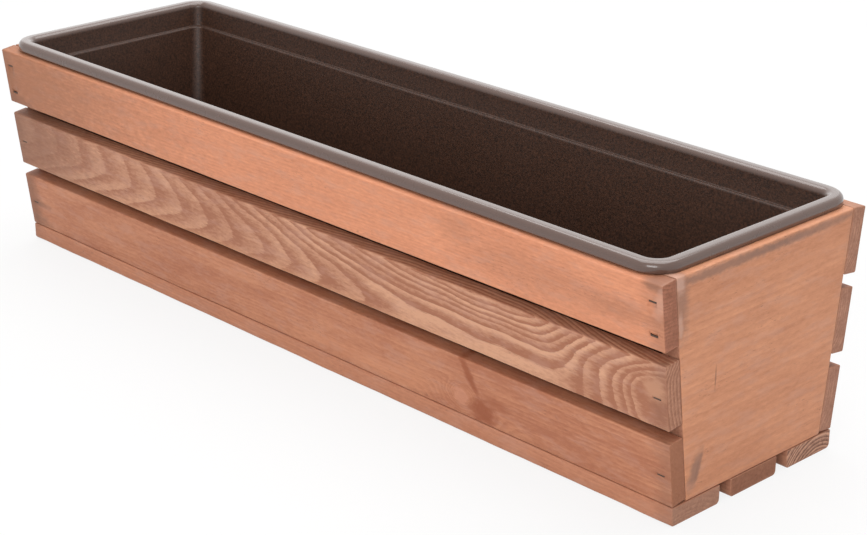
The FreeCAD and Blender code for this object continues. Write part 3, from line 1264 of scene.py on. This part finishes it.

# %% [markdown]
# ## Brown plastic
# The liner is injection-moulded: satin brown, with the faint pebbling that such tubs get from a blasted
# mould. On the walls the pebbling breaks up the gloss into specks, and below the rim the walls are painted
# far darker, as painted shade for the dim inside of the tub and the space behind the slats. The rim is
# smoother, because hands and stacking polish it.

# %% Pebbled plastic
def wire_pebble(bench, given):
    """Pebbles for the bump, pale specks, a fine speckle and slow dust."""
    point = given["Point"]
    pebbles = bench.add("TexVoronoi", {"Vector": point, "Scale": given["Density"]}, feature="F1")
    fine = bench.noise(bench.scaled(point, 1.3), 1.0)
    dust = bench.noise(bench.scaled(point, 0.03), 4.0, 0.6)
    coarse = bench.noise(bench.scaled(point, 0.55), 2.0, 0.7)
    return {
        "Pebbles": pebbles * 0.6 + fine * 0.8,
        "Specks": bench.smooth(fine, 0.6, 0.8),
        "Speckle": bench.spread(coarse, 0.32, 0.68),
        "Dust": dust,
    }


pebble_inputs = {"Point": (0.0, 0.0, 0.0), "Density": 1.1}
pebble_outputs = {title: "Float" for title in ("Pebbles", "Specks", "Speckle", "Dust")}
pebbled = shader_group("pebbled plastic", pebble_inputs, pebble_outputs, wire_pebble)
print("pebbled plastic:", len(pebbled.nodes), "nodes")


# %% Plastic
RIM_BROWN = (0.10, 0.055, 0.041)
# the walls' speckle tones: painted shade, far darker than the rim's brown
WALL_SHADE_DARK, WALL_SHADE_PALE = (0.017, 0.0065, 0.003), (0.076, 0.031, 0.0165)
SPECK_BROWN = (0.14, 0.085, 0.065)
RIM_ROUGH, WALL_ROUGH = 0.27, 0.47
RIM_TURN = (5.5 * MM, 1.5 * MM)   # depths under the rim's top between which its gloss turns into pebbling and its colour into painted shade


def brown_plastic():
    """One moulded plastic: pebbled, matt and darkened with painted shade on the walls, plain and glossy on
    the rim.
    """
    material, bench, shader, point = new_finish("brown plastic")
    skin_marks = use(bench, pebbled, {"Point": point})
    _, _, height = bench.parts(point)
    below_rim = 1.0 - bench.smooth(height, *((top - depth) / MM for depth in RIM_TURN))
    pebbled_shaded_wall = below_rim * surface_mark(bench, "pebbled_shaded_wall")
    # below the rim the walls get a painted shade, far darker than the rim
    shaded_pebbly = bench.blend(skin_marks["Speckle"], WALL_SHADE_DARK, WALL_SHADE_PALE)
    base = bench.blend(pebbled_shaded_wall, RIM_BROWN, shaded_pebbly)
    colour = bench.blend(skin_marks["Specks"] * pebbled_shaded_wall * 0.3, base, SPECK_BROWN)
    bench.plug(colour, shader.inputs["Base Color"])
    rough = bench.spread(pebbled_shaded_wall, 0.0, 1.0, RIM_ROUGH, WALL_ROUGH) + (skin_marks["Dust"] - 0.5) * 0.1
    bench.plug(rough, shader.inputs["Roughness"])
    shader.inputs["IOR"].default_value = 1.45
    bench.plug((1.0 - pebbled_shaded_wall) * 0.7, shader.inputs["Coat Weight"])
    shader.inputs["Coat Roughness"].default_value = 0.1
    bump_plugs = {"Height": skin_marks["Pebbles"] * pebbled_shaded_wall, "Strength": 0.6, "Distance": 0.2 * MM}
    bench.plug(bench.add("Bump", bump_plugs), shader.inputs["Normal"])
    return material


liner.data.materials.append(brown_plastic())
print("plastic:", len(liner.data.materials[0].node_tree.nodes), "nodes")

# %% [markdown]
# ## Staple wire
# The staples are thin steel, dulled and browned by the stain they were dipped in. Their solids are right as
# they come, so they keep their meshes and only get a better finish.

# %% Staple wire
TARNISH_DARK, TARNISH_PALE = (0.035, 0.02, 0.015), (0.16, 0.11, 0.085)


def staple_wire():
    """Tarnished steel."""
    material, bench, shader, point = new_finish("staple wire")
    tarnish = bench.noise(bench.scaled(point, 0.8), 3.0, 0.6)
    bench.plug(bench.blend(tarnish, TARNISH_DARK, TARNISH_PALE), shader.inputs["Base Color"])
    shader.inputs["Metallic"].default_value = 0.7
    bench.plug(bench.spread(tarnish, 0.3, 0.7, 0.35, 0.7), shader.inputs["Roughness"])
    return material


wire = staple_wire()
staples = [name for name in nodes if name.endswith("_staples")]
for name in staples:
    nodes[name].data.materials.clear()
    nodes[name].data.materials.append(wire)
print("pieces with staple wire:", len(staples))

# %% [markdown]
# ## Camera
# The picture is taken from a little above and to the right, with a long lens that keeps the boards nearly
# parallel. The camera's right and up directions are given outright and its third axis follows from them,
# so no tracking constraint and no chain of angles is needed.

# %% Camera
camera = bpy.data.objects.new("camera", bpy.data.cameras.new("camera"))
bpy.context.scene.collection.objects.link(camera)
bpy.context.scene.camera = camera
camera.data.lens = 88.19
camera.data.sensor_width = 36

stand = Vector((1.18765, -1.09228, 0.69960))
right = Vector((0.69289, 0.72103, 0.00333))
upward = Vector((-0.26922, 0.25442, 0.92887))
facing = Matrix((right, upward, right.cross(upward))).transposed()
camera.matrix_world = Matrix.Translation(stand) @ facing.to_4x4()
print(f"the camera stands {stand.length:.2f} m from the planter's foot")

# %% [markdown]
# ## Lamps
# A product picture is lit by big soft boxes, so that shadows have no hard rim and the wood shows its colour
# more than its gloss. A wide lamp overhead does most of the work. A second one near the camera fills the
# front and the right end, and a weak one behind draws a line of light along the back of the rim.

# %% Lamps
def area_lamp(name, place, target, size, watts):
    """A rectangular lamp that faces a target."""
    data = bpy.data.lights.new(name, "AREA")
    data.shape = "RECTANGLE"
    data.size, data.size_y = size
    data.energy = watts
    lamp = bpy.data.objects.new(name, data)
    bpy.context.scene.collection.objects.link(lamp)
    place = Vector(place)
    facing = (place - Vector(target)).to_track_quat("Z", "Y").to_matrix().to_4x4()
    lamp.matrix_world = Matrix.Translation(place) @ facing
    return lamp


lamps = [
    area_lamp("key", (1.6, -2.5, 1.5), (0.05, 0, 0.1), (1.8, 1.4), 42),
    area_lamp("back", (-2.1, 2.0, 1.7), (0, 0, 0.15), (3.4, 2.4), 12),
    area_lamp("overhead", (-0.3, 0.5, 2.9), (0, 0, 0.1), (3.0, 3.0), 85),
]
print("lamps:", ", ".join(f"{lamp.name} {lamp.data.energy:.0f} W" for lamp in lamps))

# %% [markdown]
# ## A white room
# The background has to come out white, but a white room at full strength would wash the shadows away. So
# the room is full white to a ray that looks at it, straight or by way of a reflection, and lights the
# planter at half of that.

# %% Rays that look
def looking(bench):
    """1 for a ray that looks at a surface, straight or by a reflection, and 0 for one that lights it."""
    kinds = ("Is Camera Ray", "Is Glossy Ray", "Is Transmission Ray")
    straight, mirrored, through = [bench.add("LightPath", out=kind) for kind in kinds]
    return bench.math("MAXIMUM", bench.math("MAXIMUM", straight, mirrored), through)


ROOM_LIGHT = 0.5
world = bpy.data.worlds.new("studio")
bpy.context.scene.world = world
world.use_nodes = True
bench = Bench(world.node_tree)
background = world.node_tree.nodes["Background"]
background.inputs["Color"].default_value = (1, 1, 1, 1)
bench.plug(bench.spread(looking(bench), 0.0, 1.0, ROOM_LIGHT, 1.0), background.inputs["Strength"])
print("world:", len(world.node_tree.nodes), "nodes")

# %% [markdown]
# ## The floor
# A floor lit by lamps never comes out quite white, and a floor that only glows would hold no shadow. The
# picture's floor is a mix of both: mostly glow where a ray looks at it, with enough of the lit floor left
# to show where the planter stands.

# %% Floor
floor_mesh = bpy.data.meshes.new("studio_floor")
floor_mesh.from_pydata([(-6, -6, 0), (6, -6, 0), (6, 6, 0), (-6, 6, 0)], [], [(0, 1, 2, 3)])
studio_floor = bpy.data.objects.new("studio_floor", floor_mesh)
bpy.context.scene.collection.objects.link(studio_floor)
studio_floor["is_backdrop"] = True

GLOW_SHARE = 0.84
material = bpy.data.materials.new("pale floor")
material.use_nodes = True
bench = Bench(material.node_tree)
shader = material.node_tree.nodes["Principled BSDF"]
shader.inputs["Base Color"].default_value = (0.76, 0.76, 0.76, 1)
shader.inputs["Roughness"].default_value = 0.9
shader.inputs["Specular IOR Level"].default_value = 0.0
glow = bench.add("Emission", {"Color": (1, 1, 1, 1)})
lit = Flow(bench, shader.outputs["BSDF"])
surface = bench.add("MixShader", {0: looking(bench) * GLOW_SHARE, 1: lit, 2: glow})
bench.plug(surface, material.node_tree.nodes["Material Output"].inputs["Surface"])
floor_mesh.materials.append(material)
bpy.context.scene.view_settings.view_transform = "Standard"
print("floor:", len(material.node_tree.nodes), "nodes")

# %% Size
boxes = {"cad": cad_box, "visual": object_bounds()}
boxes = {title: [list(corner) for corner in box] for title, box in boxes.items()}
for title, (low, high) in boxes.items():
    print(title, " x ".join(f"{(far - near) / MM:.2f}" for near, far in zip(low, high)), "mm")
